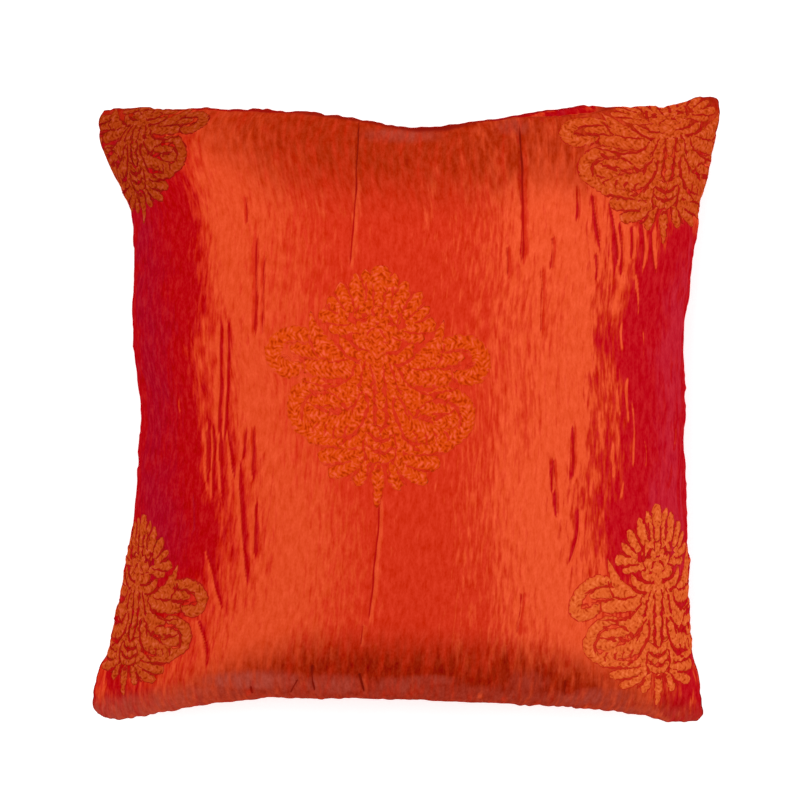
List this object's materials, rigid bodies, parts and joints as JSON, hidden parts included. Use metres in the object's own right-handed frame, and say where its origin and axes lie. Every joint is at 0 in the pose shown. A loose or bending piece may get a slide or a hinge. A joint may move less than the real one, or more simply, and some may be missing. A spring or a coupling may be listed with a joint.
{
  "type": "filled cushion cover",
  "caption": "Square filled cushion cover of crinkled shot taffeta with woven damask medallions, a soft crown, drawn-in sides and plain knife-edge seams.",
  "frame": {"origin": "centre of the box round the cushion, at the level of the surface that it lies on", "axes": "+X to the right of the patterned face, +Y to its top edge, +Z out of it"},
  "size_m": [0.4396, 0.4406, 0.1499],
  "materials": {
    "shot_taffeta": "crinkled taffeta woven from crimson and orange threads, with a soft satin sheen and rust-orange woven medallions"
  },
  "bodies": {
    "root": {"cushion_cover": "shot_taffeta"}
  },
  "joints": []
}
